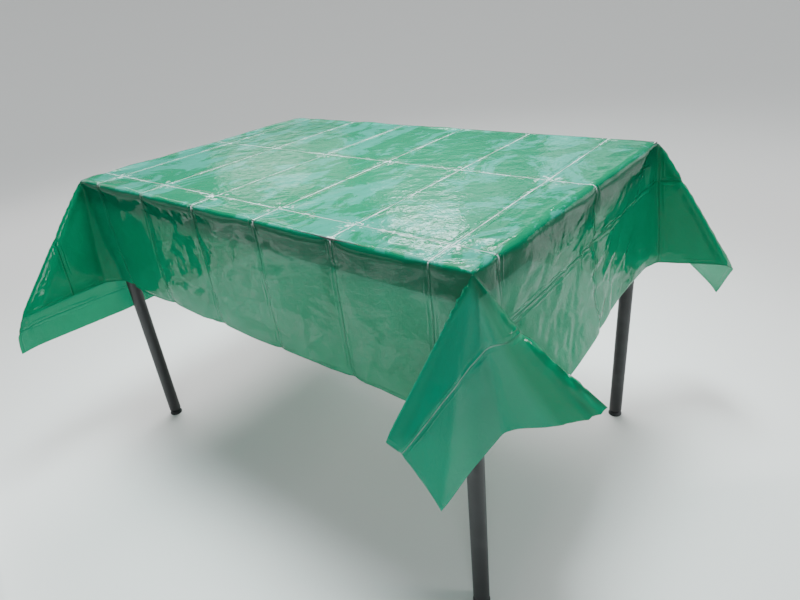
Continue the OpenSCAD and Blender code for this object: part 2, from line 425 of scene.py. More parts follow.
        # painted highlight: white lines along the folds, fuller in patches, and white flecks about
        # crossings and beside folds
        patched = g.noise(flat, self.patched).step(*self.patch_levels)
        thin, ended = (self.fold_width * level for level in self.line_levels)
        line = 1.0 - (nearest + 0.5 * waver).step(thin, ended)
        chips = g.noise(flat, self.chips).step(*self.chip_levels)
        core = self.star_core * self.star_reach
        star = chips * (1.0 - to_cross.high(to_length).step(core, self.star_reach))
        flecks = chips * patched * (1.0 - nearest.step(0.0, self.fleck_reach * self.star_reach))
        white = (line * (self.line_highlight + (1.0 - self.line_highlight) * patched)).high(star)
        clouds = g.noise(flat, self.clouds)
        mottle = g.noise(flat, self.haze) * self.haze_share + clouds * (1.0 - self.haze_share)
        colour = g.blend(mottle, self.deep, self.light)
        colour = self.by_place(g, colour, clouds, line, white.high(self.fleck_highlight * flecks), table)
        rough = self.rough + self.rough_cloud * clouds.step(*self.matt_levels) + self.rough_fold * ridge

        facets = g.node("ShaderNodeTexVoronoi", {"Vector": flat, "Scale": self.facets, "Randomness": 1.0},
                        feature="F1")
        relief = g.noise(flat, self.crinkle) * self.crinkle_share + facets * (1.0 - self.crinkle_share)
        tilt = g.bump(relief, self.crinkle_height)
        tilt = g.bump(ridge + second * patched * self.second_height, self.fold_height, tilt)

        front = g.node("ShaderNodeBsdfPrincipled", {
            "Base Color": colour, "Roughness": rough, "IOR": 1.5, "Specular IOR Level": self.shine,
            "Normal": tilt})
        back = g.node("ShaderNodeBsdfTranslucent", {"Color": (*self.glow, 1.0), "Normal": tilt})
        film = g.node("ShaderNodeMixShader", {0: self.through, 1: front, 2: back})
        seen = g.node("ShaderNodeBsdfTransparent", {"Color": (*self.tint, 1.0)})
        return g.finish(g.node("ShaderNodeMixShader", {0: self.clear, 1: film, 2: seen}))

    def from_folds(self, cut: "ClothCut", along: Sock, across: Sock) -> tuple[Sock, Sock]:
        """Distances from the nearest fold across the sheet and along it, as the cut has them.

        Args:
            cut: the flat sheet.
            along: X on it.
            across: Y on it.

        Returns:
            Both distances.
        """
        slanted = along + cut.cross_fold_slant * across.low(cut.slant_reach).high(-cut.slant_reach)
        return (slanted.to_line(cut.cross_fold_gap, cut.first_cross_fold),
                across.to_line(cut.length_fold_gap, cut.first_length_fold))

    def by_place(self, g: Graph, colour: Sock, clouds: Sock, line: Sock, white: Sock,
                 table: "TableForm") -> Sock:
        """Paints reflections on the table, shade on the drops, light on the front right ear and highlights
        on the folds.

        Args:
            g: the film's graph.
            colour: the mottled green.
            clouds: the pattern of small clouds.
            line: 1 along the packing folds.
            white: strength of the painted highlight on folds and at their crossings.
            table: the table.

        Returns:
            The finished colour.
        """
        flat = g.node("ShaderNodeUVMap", uv_map=FLAT_MAP)
        along, across, _ = g.split(flat)
        level = g.split(g.place())[2]
        lying, upper = level.step(*self.lying_levels), level.step(*self.upper_levels)
        past_both = (abs(along) - table.half[0]).low(abs(across) - table.half[1])
        # painted shade: the drops are painted darker below the table's edge, where no light comes through,
        # and along their creases
        edge = level.step(*self.edge_shade_levels) * (1.0 - lying) * (1.0 - past_both.step(*self.corner_levels))
        ear = (along - table.half[0]).low(0.0 - across - table.half[1]).step(*self.corner_levels)
        # painted highlight: the white lines and flecks are kept to the top, and white lines are painted
        # across the front right ear
        white = (white * upper).high(self.ear_highlight * line * ear)
        crease_shade = line * (1.0 - upper) * (1.0 - ear)

        # painted reflection: paler patches painted on the film that lies on the table, in the 'loose'
        # pattern
        leaning = g.stretch(flat, self.reflection_stretch, self.reflection_turn)
        loose = g.noise(leaning, self.loose).step(*self.reflection_levels)
        pale, paler = self.reflection_shares
        colour = g.blend(loose * lying * (pale + paler * clouds), colour, self.painted_reflection)
        # painted light: the front right ear is painted paler, as if lit from both sides
        colour = g.blend(self.ear_light_share * ear, colour, self.painted_light_ear)
        dark = (self.edge_shade_share * edge).high(self.crease_shade_share * crease_shade)
        return g.blend(white, g.blend(dark, colour, self.shaded), self.painted_highlight)


@dataclass(frozen=True)
class PowderCoat:
    """Black powder coat: a fine orange-peel skin, rubbed brighter in places."""

    base: Colour = (0.011, 0.011, 0.012)
    patched: Colour = (0.030, 0.030, 0.031)
    rough: float = 0.38
    rough_worn: float = 0.16
    skin_height: float = 0.00008
    speck_share: float = 0.4
    patch_levels: tuple[float, float] = (0.45, 0.75)
    patches: Pattern = Pattern(7.0, 4.0, 0.6)
    peel: Pattern = Pattern(900.0, 2.0)
    specks: Pattern = Pattern(2600.0, 1.0)

    def build(self) -> bpy.types.Material:
        """Makes the coat's material.

        Returns:
            The material.
        """
        g = Graph.material("black_powder_coat")
        place = g.place()
        patches = g.noise(place, self.patches)
        skin = g.noise(place, self.peel) + g.noise(place, self.specks) * self.speck_share
        return g.finish(g.node("ShaderNodeBsdfPrincipled", {
            "Base Color": g.blend(patches.step(*self.patch_levels), self.base, self.patched),
            "Roughness": self.rough + self.rough_worn * patches,
            "Normal": g.bump(skin, self.skin_height)}))


@dataclass(frozen=True)
class Laminate:
    """Pale satin laminate with a faint fibre pattern along the board."""

    base: Colour = (0.60, 0.57, 0.51)
    fibre: Colour = (0.50, 0.46, 0.39)
    rough: float = 0.34
    rough_fibre: float = 0.14
    cell_height: float = 0.00003
    fibre_stretch: Direction = (2.5, 60.0, 60.0)
    fibre_levels: tuple[float, float] = (0.3, 0.75)
    fibres: Pattern = Pattern(3.0, 6.0, 0.6, 0.4)
    cells: Pattern = Pattern(1500.0, 2.0)

    def build(self) -> bpy.types.Material:
        """Makes the laminate's material.

        Returns:
            The material.
        """
        g = Graph.material("pale_laminate")
        grain = g.noise(g.stretch(g.place(), self.fibre_stretch), self.fibres)
        return g.finish(g.node("ShaderNodeBsdfPrincipled", {
            "Base Color": g.blend(grain.step(*self.fibre_levels), self.base, self.fibre),
            "Roughness": self.rough + self.rough_fibre * grain,
            "Normal": g.bump(g.noise(g.place(), self.cells), self.cell_height)}))


@dataclass(frozen=True)
class Chipboard:
    """Pressed wood chips of several browns."""

    pale: Colour = (0.52, 0.37, 0.20)
    dark: Colour = (0.25, 0.15, 0.07)
    rough: float = 0.85
    chip_stretch: Direction = (1.0, 1.6, 2.4)
    chip_scale: float = 260.0
    fuzz_height: float = 0.0004
    fuzz: Pattern = Pattern(700.0, 4.0)

    def build(self) -> bpy.types.Material:
        """Makes the chipboard's material.

        Returns:
            The material.
        """
        g = Graph.material("raw_chipboard")
        chips = g.node("ShaderNodeTexVoronoi", {
            "Vector": g.stretch(g.place(), self.chip_stretch), "Scale": self.chip_scale}, out="Color")
        tone = g.node("ShaderNodeSeparateColor", {0: chips})
        return g.finish(g.node("ShaderNodeBsdfPrincipled", {
            "Base Color": g.blend(tone, self.pale, self.dark), "Roughness": self.rough,
            "Normal": g.bump(g.noise(g.place(), self.fuzz), self.fuzz_height)}))


@dataclass(frozen=True)
class MouldedPlastic:
    """Dark moulded plastic with a fine spark-eroded skin, greyed by dust."""

    name: str
    base: Colour
    rough: float
    rough_dust: float = 0.12
    dust_gain: float = 2.4
    dust_lift: float = 0.01
    skin_height: float = 0.00008
    dust_levels: tuple[float, float] = (0.5, 0.85)
    skin: Pattern = Pattern(1400.0)
    dust: Pattern = Pattern(9.0, 4.0, 0.6)

    def build(self) -> bpy.types.Material:
        """Makes the plastic's material.

        Returns:
            The material.
        """
        g = Graph.material(self.name)
        dust = g.noise(g.place(), self.dust)
        greyed = tuple(min(1.0, self.dust_gain * part + self.dust_lift) for part in self.base)
        return g.finish(g.node("ShaderNodeBsdfPrincipled", {
            "Base Color": g.blend(dust.step(*self.dust_levels), self.base, greyed),
            "Roughness": self.rough + self.rough_dust * dust,
            "Normal": g.bump(g.noise(g.place(), self.skin), self.skin_height)}))


@dataclass(frozen=True)
class ZincPlate:
    """Bright zinc plate, slightly cloudy."""

    base: Colour = (0.58, 0.60, 0.62)
    cloudy: Colour = (0.44, 0.45, 0.44)
    rough: float = 0.22
    rough_cloud: float = 0.2
    grain_height: float = 0.00002
    clouds: Pattern = Pattern(160.0, 4.0, 0.6)
    grain: Pattern = Pattern(2200.0, 2.0)

    def build(self) -> bpy.types.Material:
        """Makes the plate's material.

        Returns:
            The material.
        """
        g = Graph.material("bright_zinc")
        cloud = g.noise(g.place(), self.clouds)
        return g.finish(g.node("ShaderNodeBsdfPrincipled", {
            "Base Color": g.blend(cloud, self.base, self.cloudy), "Metallic": 1.0,
            "Roughness": self.rough + self.rough_cloud * cloud,
            "Normal": g.bump(g.noise(g.place(), self.grain), self.grain_height)}))


@dataclass(frozen=True)
class FloorFinish:
    """Plain pale floor, very faintly mottled."""

    base: Colour = (0.76, 0.725, 0.71)
    mottle_depth: float = 0.015
    rough: float = 0.75
    mottle: Pattern = Pattern(1.3)

    def build(self) -> bpy.types.Material:
        """Makes the floor's material.

        Returns:
            The material.
        """
        g = Graph.material("pale_floor")
        low = tuple((1.0 - self.mottle_depth) * part for part in self.base)
        return g.finish(g.node("ShaderNodeBsdfPrincipled", {
            "Base Color": g.blend(g.noise(g.place(), self.mottle), low, self.base),
            "Roughness": self.rough}))


# --------------------------------------------------------------------------- the cloth


@dataclass(frozen=True)
class FlatGrid:
    """A grid on the flat sheet, whose zero lies over the table's middle.

    Attributes:
        along: X of the lines across the sheet.
        across: Y of the lines along it.
    """

    along: Array
    across: Array

    @property
    def points(self) -> tuple[Array, Array]:
        """X and Y of every point, each as (across, along)."""
        return tuple(np.meshgrid(self.along, self.across))

    def beyond(self, half: tuple[float, float]) -> tuple[Array, Array]:
        """How far every point lies beyond the table's short edges and beyond its long edges."""
        flat_x, flat_y = self.points
        return np.abs(flat_x) - half[0], np.abs(flat_y) - half[1]


@dataclass(frozen=True)
class ClothCut:
    """The flat sheet: its size, how it lies on the table and where its packing folds run.

    Attributes:
        length, width: the sheet's sides.
        left_shift, back_shift: how far its middle lies from the table's.
        cross_fold_gap, first_cross_fold: spacing of the folds across the sheet, and X of one.
        cross_fold_slant, slant_reach: how much they lean, and Y up to which they do.
        length_fold_gap, first_length_fold: spacing of the folds along the sheet, and Y of one.
        cells_along, cells_across: cells of the full grid.
        coarse: full cells to a side of a cell of the coarse grid.
    """

    length: float = 1.83
    width: float = 1.37
    left_shift: float = 0.040
    back_shift: float = 0.035
    cross_fold_gap: float = 0.200
    first_cross_fold: float = 0.090
    cross_fold_slant: float = 0.045
    slant_reach: float = 0.375
    length_fold_gap: float = 0.3425
    first_length_fold: float = 0.035
    cells_along: int = 366
    cells_across: int = 264
    coarse: int = 3

    def from_folds(self, grid: FlatGrid) -> tuple[Array, Array]:
        """Distances of a grid's points from the nearest fold across the sheet and along it.

        The folds across lean: they keep X + slant * Y constant over the table and hang straight
        on the drops. The distance to the nearest of lines a gap g apart from the first line f is
        |((v - f) + g/2) mod g - g/2|.

        Args:
            grid: the grid.

        Returns:
            Both distances.
        """
        flat_x, flat_y = grid.points
        slanted = flat_x + self.cross_fold_slant * np.clip(flat_y, -self.slant_reach, self.slant_reach)
        half_cross, half_length = 0.5 * self.cross_fold_gap, 0.5 * self.length_fold_gap
        to_cross = (slanted - self.first_cross_fold + half_cross) % self.cross_fold_gap - half_cross
        to_length = (flat_y - self.first_length_fold + half_length) % self.length_fold_gap - half_length
        return np.abs(to_cross), np.abs(to_length)

    def grid(self, step: int = 1) -> FlatGrid:
        """Lays a grid over the whole sheet.

        Args:
            step: cells of the full grid to a side of one of its cells.

        Returns:
            The grid.
        """
        along = np.linspace(-0.5, 0.5, self.cells_along // step + 1) * self.length - self.left_shift
        across = np.linspace(-0.5, 0.5, self.cells_across // step + 1) * self.width + self.back_shift
        return FlatGrid(along, across)


ALL_ROUND = 270  # degrees of film round a corner, from one edge of the table to the other


@dataclass(frozen=True)
class Ear:
    """The spare cloth at one corner of the table, as a cone with its tip on the corner.

    Attributes:
        name: which corner.
        sign: the corner's sides, as signs of X and Y.
        rays: (flat angle in degrees, direction). The flat angle turns about the corner from the
            long edge (0), past the line straight out (90) and the line straight sideways (180), to
            the short edge (270). A direction is (out along X, out along Y, up).
        softness: how many degrees of the cone a fold is rounded over.
        per_degree: how finely the cone is worked out.
    """

    name: str
    sign: tuple[int, int]
    rays: tuple[tuple[float, Direction], ...]
    softness: float = 5.0
    per_degree: int = 8

    def directions(self, angle: Array) -> Array:
        """Unit directions in which the film runs down from the corner.

        The rays are joined by straight blends, smoothed with a moving average of the ear's
        softness and brought back to unit length. Outside the rays the film keeps to the vertical
        planes of its two drops: (-cos a, 0, -sin a) and (0, sin a, cos a).

        Args:
            angle: flat angles, in degrees.

        Returns:
            Directions, with the corner's signs not yet applied.
        """
        fine = np.linspace(0.0, ALL_ROUND, ALL_ROUND * self.per_degree + 1)
        turn = np.radians(fine)
        long_drop = np.stack([-np.cos(turn), 0 * turn, -np.sin(turn)], -1)
        short_drop = np.stack([0 * turn, np.sin(turn), np.cos(turn)], -1)
        marks = np.array([ray[0] for ray in self.rays])
        ways = np.array([ray[1] for ray in self.rays], float)
        ways /= np.linalg.norm(ways, axis=1, keepdims=True)
        between = np.stack([np.interp(fine, marks, ways[:, k]) for k in range(3)], -1)
        path = np.where((fine < marks[0])[:, None], long_drop,
                        np.where((fine > marks[-1])[:, None], short_drop, between))
        reach = max(1, int(self.softness / 2 * self.per_degree))
        kernel = np.hanning(2 * reach + 3)[1:-1]
        kernel /= kernel.sum()
        padded = np.pad(path, ((reach, reach), (0, 0)), mode="edge")
        smooth = np.stack([np.convolve(padded[:, k], kernel, "valid") for k in range(3)], -1)
        smooth /= np.linalg.norm(smooth, axis=1, keepdims=True)
        return np.stack([np.interp(angle, fine, smooth[:, k]) for k in range(3)], -1)


EARS = (
    # the left drop runs straight on past the corner, and the front drop lies folded against it
    Ear("front_left", (-1, -1), (
        (82.0, (-0.14, 0.0, -0.99)), (92.0, (-0.03, 0.10, -0.99)), (110.0, (-0.05, 0.36, -0.93)),
        (126.0, (-0.06, 0.60, -0.80)), (132.0, (0.0, 0.66, -0.75)), (138.0, (0.06, 0.63, -0.78)),
        (146.0, (0.05, 0.56, -0.83)), (164.0, (0.03, 0.27, -0.96)), (182.0, (0.0, -0.03, -1.0)))),
    # the ear stands open between a fold to the front and a fold to the right
    Ear("front_right", (1, -1), (
        (80.0, (-0.174, 0.0, -0.985)), (94.0, (-0.20, 0.24, -0.95)), (105.0, (-0.31, 0.40, -0.86)),
        (107.5, (-0.303, 0.427, -0.852)), (112.2, (-0.242, 0.365, -0.90)),
        (124.0, (-0.145, 0.30, -0.94)), (136.8, (-0.054, 0.204, -0.977)),
        (146.5, (-0.02, 0.05, -0.998)), (158.5, (0.045, -0.165, -0.985)),
        (163.0, (0.10, -0.19, -0.977)), (174.0, (0.24, -0.210, -0.955)),
        (179.0, (0.300, -0.235, -0.930)), (184.0, (0.324, -0.300, -0.90)),
        (189.0, (0.314, -0.396, -0.863)), (194.0, (0.24, -0.45, -0.86)),
        (215.0, (0.0, -0.574, -0.819))), 3.6),
    # the ear hangs out to the right from an upright valley under the corner
    Ear("back_right", (1, 1), (
        (72.0, (-0.31, 0.0, -0.95)), (106.0, (0.02, 0.45, -0.89)), (114.0, (0.10, 0.46, -0.88)),
        (130.0, (0.30, 0.34, -0.89)), (146.0, (0.50, 0.20, -0.84)), (152.0, (0.51, 0.13, -0.85)),
        (180.0, (0.10, 0.03, -0.99)), (186.0, (0.04, -0.10, -0.99)), (214.0, (0.0, -0.56, -0.83))), 4.0),
    # the ear leans backwards and outwards
    Ear("back_left", (-1, 1), (
        (68.0, (-0.37, 0.0, -0.93)), (108.0, (0.0, 0.58, -0.81)), (114.0, (0.05, 0.60, -0.80)),
        (137.0, (0.31, 0.52, -0.80)), (152.0, (0.46, 0.32, -0.83)), (158.0, (0.44, 0.24, -0.86)),
        (198.0, (0.0, -0.31, -0.95)))),
)


class Side(Enum):
    """The table's four edges, as (axis that crosses the edge, side of zero on which it lies)."""

    LEFT = (0, -1)
    RIGHT = (0, 1)
    FRONT = (1, -1)
    BACK = (1, 1)


def from_corner(out_x: Array, out_y: Array) -> tuple[Array, Array]:
    """Flat angle and flat distance of points from a corner of the table.

    Args:
        out_x: how far the points lie beyond the corner's short edge.
        out_y: how far they lie beyond its long edge.

    Returns:
        Angles in degrees, counted as an ear's rays are, and distances.
    """
    return np.degrees(np.arctan2(out_y, -out_x)) % 360.0, np.hypot(out_x, out_y)


def smooth_step(share: Array) -> Array:
    """Smooth rise from 0 to 1: 3 s^2 - 2 s^3, with s kept between 0 and 1."""
    share = np.clip(share, 0.0, 1.0)
    return share * share * (3.0 - 2.0 * share)


@dataclass(frozen=True)
class EdgeRoll:
    """How the film rounds one edge of the table: it stands off between folds, pinched at them.

    Attributes:
        loose: radius half way between folds.
        pinched: radius at a fold.
        sag: how far down the drop the bulge reaches half way between folds.
        top_reach: how far in over the table the bulge dies away.
        lip_reach: how far down the drop the bulge's rise dies away.
        bulge: height of the bulge, as a share of the radius.
        fold_sag: the bulge's reach at a fold, as a share of its reach half way.
        blunt: power that widens the open stretches; 1 leaves them a plain sine.
    """

    loose: float = 0.010
    pinched: float = 0.003
    sag: float = 0.050
    top_reach: float = 0.030
    lip_reach: float = 0.020
    bulge: float = 0.85
    fold_sag: float = 0.30
    blunt: float = 0.7

    def openness(self, to_fold: Array, gap: float) -> Array:
        """How open the roll is, from 0 at a fold to 1 half way to the next: sin(pi d/g)^blunt."""
        return np.sin(np.clip(to_fold / gap, 0.0, 0.5) * math.pi) ** self.blunt

    def bend(self, beyond: Array, open_share: Array) -> tuple[Array, Array]:
        """How far the sharp edge's film moves out and up.

        With t the flat distance beyond the edge and R the radius, the sharp corner
        (min(t, 0), -max(t, 0)) becomes -R ln(1 + e^(-t/R)) and -R ln(1 + e^(t/R)). The bulge adds
        B e^-(t/reach)^2 above the edge and B (1 - t/T) below it, down to a crease at T.

        Args:
            beyond: flat distance beyond the edge.
            open_share: the roll's openness.

        Returns:
            Distance out and distance up.
        """
        radius = self.pinched + (self.loose - self.pinched) * open_share
        sag = self.sag * (self.fold_sag + (1.0 - self.fold_sag) * open_share)
        soft = radius * np.log1p(np.exp(-np.abs(beyond) / radius))
        above = np.exp(-(beyond / self.top_reach) ** 2)
        below = np.clip(1.0 - beyond / sag, 0.0, 1.0)
        lip = np.exp(-(beyond / self.lip_reach) ** 2)
        out = self.bulge * radius * np.where(beyond < 0, above, below) - soft
        up = self.bulge * radius * np.where(beyond < 0, above, lip) - soft
        return out, up


@dataclass
class TableForm:
    """The table that the film lies on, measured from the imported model.

    Attributes:
        low, high: corners of the board's box, with its edge strips.
        gap: how far the film's drops stand off the board's edges.
        rest: how far the film lies above the board.
    """

    low: Vector = field(init=False)
    high: Vector = field(init=False)
    gap: float = 0.0025
    rest: float = 0.0006

    def __post_init__(self) -> None:
        """Reads the board's box from its edge strips."""
        self.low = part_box("edge_strip_left")[0]
        self.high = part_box("edge_strip_right")[1]

    @property
    def half(self) -> tuple[float, float]:
        """Half length and half width between the film's drops."""
        return self.high.x + self.gap, self.high.y + self.gap

    @property
    def top(self) -> float:
        """Level of the film on the table."""
        return self.high.z + self.rest


@dataclass(frozen=True)
class OpenSide:
    """How the right side stands open: its hem leans out and the front ear laps out below a fold.

    Attributes:
        flare: how far the hem leans out.
        flare_power: how the lean grows down the drop.
        flare_back, flare_run: Y where the lean ends, and the run over which it grows from there.
        hem: flat distance from the edge to the hem.
        corner_run: the run beside the front corner over which lean and drop meet.
        fold_reach, fold_rise: where the lap's middle lies from the corner, out and back.
        lap: how a point at distance 1 from the lap's middle moves: out, to the front and up.
        lap_turns, lap_shares: directions about that middle, and the share of the lap at each.
        crest, crest_reach: height of the packing fold across the ear, and where it has died away.
        crest_turns, crest_shares: the ear's flat angles, and the share of the crest at each.
        pleat, pleat_turn, pleat_first: depth, spacing and first angle of the ear's fine pleats.
        pleat_turns, pleat_shares: the ear's flat angles, and the share of the pleats at each.
        push: direction of crest and pleats.
        crest_run, pleat_run: distances from the corner at which both are at full height.
    """

    flare: float = 0.034
    flare_power: float = 1.4
    flare_back: float = 0.30
    flare_run: float = 0.45
    hem: float = 0.2925
    corner_run: float = 0.05
    fold_reach: float = 0.1125
    fold_rise: float = 0.018
    lap: Direction = (0.205, -0.016, 0.085)
    lap_turns: tuple[float, ...] = (-75.0, -40.0, -9.0, 0.0, 8.0, 15.0, 26.0, 37.0)
    lap_shares: tuple[float, ...] = (0.0, 0.35, 1.0, 0.86, 0.56, 0.32, 0.10, 0.0)
    crest: float = 0.016
    crest_reach: float = 0.05
    crest_turns: tuple[float, ...] = (100.0, 116.0, 170.0, 188.0)
    crest_shares: tuple[float, ...] = (0.0, 1.0, 1.0, 0.0)
    crest_run: float = 0.2
    pleat: float = 0.0052
    pleat_turn: float = 3.2
    pleat_first: float = 183.0
    pleat_turns: tuple[float, ...] = (181.0, 185.0, 194.0, 199.0)
    pleat_shares: tuple[float, ...] = (0.0, 1.0, 1.0, 0.0)
    pleat_run: float = 0.3
    push: Direction = (0.48, -0.80, 0.36)

    def shift(self, grid: FlatGrid, half: tuple[float, float]) -> Array:
        """How far each point moves.

        The right drop leans out by flare (t/T)^p at flat distance t beyond the edge, fading to
        nothing towards the back. The lap turns about the point where the front right ear's fold
        meets the packing fold: at distance e and direction w from it, points move by e s(w) lap.
        The packing fold stands up as a crest across the ear, and pleats follow the ear's own fold.

        Args:
            grid: the grid of points.
            half: half length and half width between the film's drops.

        Returns:
            Movements, as (across, along, 3).
        """
        flat_x, flat_y = grid.points
        half_x, half_y = half
        drop = np.clip(flat_x - half_x, 0.0, None)
        lean = smooth_step((self.flare_back - flat_y) / self.flare_run)
        lean *= np.clip((flat_y + half_y) / self.corner_run, 0.0, 1.0)
        lean *= self.flare * (drop / self.hem) ** self.flare_power
        across_fold = flat_x - (half_x + self.fold_reach)
        down_fold = -(flat_y + half_y) + self.fold_rise
        turn = np.degrees(np.arctan2(down_fold, across_fold))
        lapped = np.interp(turn, self.lap_turns, self.lap_shares) * (across_fold > 0)
        lapped *= np.hypot(across_fold, down_fold)
        angle, reach = from_corner(flat_x - half_x, -flat_y - half_y)
        crest = self.crest * np.exp(-np.abs(across_fold) / self.crest_reach)
        crest *= np.interp(angle, self.crest_turns, self.crest_shares)
        crest *= np.clip(reach / self.crest_run, 0.0, 1.0)
        pleats = self.pleat * np.sin((angle - self.pleat_first) / self.pleat_turn * 2 * math.pi)
        pleats *= np.interp(angle, self.pleat_turns, self.pleat_shares)
        pleats *= np.clip(reach / self.pleat_run, 0.0, 1.0)
        moves = lapped[..., None] * np.array(self.lap) + (crest + pleats)[..., None] * np.array(self.push)
        moves[..., 0] += lean
        return moves


@dataclass
class FilmDrape:
    """The film's places in space, on a grid over the flat sheet.

    Attributes:
        front, right, others: the rolls of film over the table's edges.
        open_side: how the right side stands open.
        corner_fade: run beside a corner over which the rolls set in.
        corner_run, corner_blunt: run over which they open, and power that widens its open end.
    """

    cut: ClothCut
    table: TableForm
    front: EdgeRoll = EdgeRoll()
    right: EdgeRoll = EdgeRoll(loose=0.024, pinched=0.006, sag=0.110, top_reach=0.042)
    others: EdgeRoll = EdgeRoll(loose=0.008)
    open_side: OpenSide = OpenSide()
    corner_fade: float = 0.03
    corner_run: float = 0.12
    corner_blunt: float = 0.7

    def roll(self, side: Side) -> EdgeRoll:
        """The roll of film over one of the table's edges."""
        return {Side.FRONT: self.front, Side.RIGHT: self.right}.get(side, self.others)

    def cones(self, grid: FlatGrid) -> Array:
        """The unstretched starting shape: flat on the table and a cone of film at each corner.

        A point at flat distance r and flat angle a from its corner goes to corner + r d(a), with
        d from the corner's ear. Beside the ears that is the plain vertical drop.

        Args:
            grid: the grid of points.

        Returns:
            Points, as (across, along, 3).
        """
        flat_x, flat_y = grid.points
        half_x, half_y = self.table.half
        points = np.stack([flat_x, flat_y, np.full_like(flat_x, self.table.top)], -1)
        for ear in EARS:
            out_x = ear.sign[0] * flat_x - half_x
            out_y = ear.sign[1] * flat_y - half_y
            mine = (ear.sign[0] * flat_x >= 0) & (ear.sign[1] * flat_y >= 0)
            mine &= (out_x > 0) | (out_y > 0)
            angle, reach = from_corner(out_x[mine], out_y[mine])
            way = ear.directions(angle) * reach[:, None]
            points[mine, 0] = ear.sign[0] * (half_x + way[:, 0])
            points[mine, 1] = ear.sign[1] * (half_y + way[:, 1])
            points[mine, 2] = self.table.top + way[:, 2]
        return points + self.open_side.shift(grid, self.table.half)

    def round_edges(self, points: Array, grid: FlatGrid) -> Array:
        """Rounds the film where it goes over the table's four edges.

        Args:
            points: the points in space.
            grid: their grid on the flat sheet.

        Returns:
            The points with rounded edges.
        """
        flat_x, flat_y = grid.points
        to_cross, to_length = self.cut.from_folds(grid)
        folds = ((to_length, self.cut.length_fold_gap), (to_cross, self.cut.cross_fold_gap))
        moved = points.copy()
        for side in Side:
            axis, sign = side.value
            flat, other = (flat_x, flat_y) if axis == 0 else (flat_y, flat_x)
            to_corner = self.table.half[1 - axis] - np.abs(other)
            roll = self.roll(side)
            open_share = np.clip(to_corner / self.corner_run, 0.0, 1.0) ** self.corner_blunt
            open_share *= roll.openness(*folds[axis])
            out, up = roll.bend(sign * flat - self.table.half[axis], open_share)
            mine = (sign * flat > 0) * smooth_step(to_corner / self.corner_fade)
            moved[..., axis] += sign * mine * out
            moved[..., 2] += mine * up
        return moved


@dataclass
class FilmRelaxer:
    """Position-based cloth simulation on a grid, worked out as whole arrays.

    Every step lets the points move on under gravity, then brings each link back to its flat
    length, in turns so that no point has two links corrected at once, and last pushes points out
    of the table.

    Attributes:
        grid: the film's grid on the flat sheet.
        table: the table that keeps the film out.
        clear, clear_top: least distance from the board's sides and from its top.
        under: how far below the board a point still counts as having gone into it.
        squeeze: how much of a shortened link's error is mended, against 1 for a stretched one.
        shear, stiffness: how much of the diagonals' and of the longer links' errors is mended.
        drag: share of a point's speed that it keeps.
        gravity: how far a free point falls in a step.
        steps: number of steps.
    """

    grid: FlatGrid
    table: TableForm
    clear: float = 0.0012
    clear_top: float = 0.0006
    under: float = 0.02
    squeeze: float = 0.6
    shear: float = 0.7
    stiffness: float = 0.06
    drag: float = 0.90
    gravity: float = 0.00010
    steps: int = 120

    def links(self) -> list[tuple[tuple, tuple, float, float]]:
        """The grid's links: along, across, both diagonals, and the longer ones that resist bending.

        Returns:
            (slices of the first ends, slices of the second ends, flat length, stiffness) for sets
            of links that share no point.
        """
        along, across = self.grid.along, self.grid.across
        step_x, step_y = along[1] - along[0], across[1] - across[0]
        sets = []
        for rows, cols, stiff in ((0, 1, 1.0), (1, 0, 1.0), (1, 1, self.shear), (1, -1, self.shear),
                                  (0, 2, self.stiffness), (2, 0, self.stiffness)):
            length = math.hypot(rows * step_y, cols * step_x)
            apart = 2 * max(rows, cols)
            for first in range(apart):
                if rows:
                    row = np.arange(first, len(across) - rows, apart)
                    col = np.arange(max(0, -cols), len(along) - max(0, cols))
                else:
                    row = np.arange(len(across))
                    col = np.arange(first, len(along) - cols, apart)
                sets.append((np.ix_(row, col), np.ix_(row + rows, col + cols), length, stiff))
        return sets

    def run(self, points: Array, free: Array, hold: Array) -> Array:
        """Lets the film settle.

        Args:
            points: the grid's points.
            free: 1 where a point may move and 0 where it is fixed.
            hold: how strongly each point is drawn back to where it started, from 0 to 1.

        Returns:
            The settled points.
        """
        now, before = points.copy(), points.copy()
        weight = free[..., None]
        links = self.links()
        for _ in range(self.steps):
            drift = self.drag * (now - before)
            before = now.copy()
            now += weight * drift
            now[..., 2] -= free * self.gravity
            now += (hold * free)[..., None] * (points - now)
            for first, second, length, stiff in links:
                gap = now[second] - now[first]
                size = np.sqrt((gap * gap).sum(-1, keepdims=True)) + TINY
                strain = (size - length) / size
                strain = np.where(strain < 0, self.squeeze * strain, strain)
                pull = stiff * strain * gap
                w_first, w_second = weight[first], weight[second]
                total = np.maximum(w_first + w_second, TINY)
                now[first] += w_first / total * pull
                now[second] -= w_second / total * pull
            self.clear_table(now)
        return now

    def clear_table(self, points: Array) -> None:
        """Moves points out of the board, by the nearest of its top and sides.

        Args:
            points: the grid's points, changed in place.
        """
        low, high = self.table.low, self.table.high
        deep_x = high.x + self.clear - np.abs(points[..., 0])
        deep_y = high.y + self.clear - np.abs(points[..., 1])
        deep_z = high.z + self.clear_top - points[..., 2]
        inside = (deep_x > 0) & (deep_y > 0) & (deep_z > 0) & (points[..., 2] > low.z - self.under)
        least = np.minimum(np.minimum(deep_x, deep_y), deep_z)
        for axis, deep in ((0, deep_x), (1, deep_y)):
            push = inside & (deep == least)
            points[..., axis] += push * np.sign(points[..., axis]) * deep
        points[..., 2] += (inside & (deep_z == least)) * deep_z


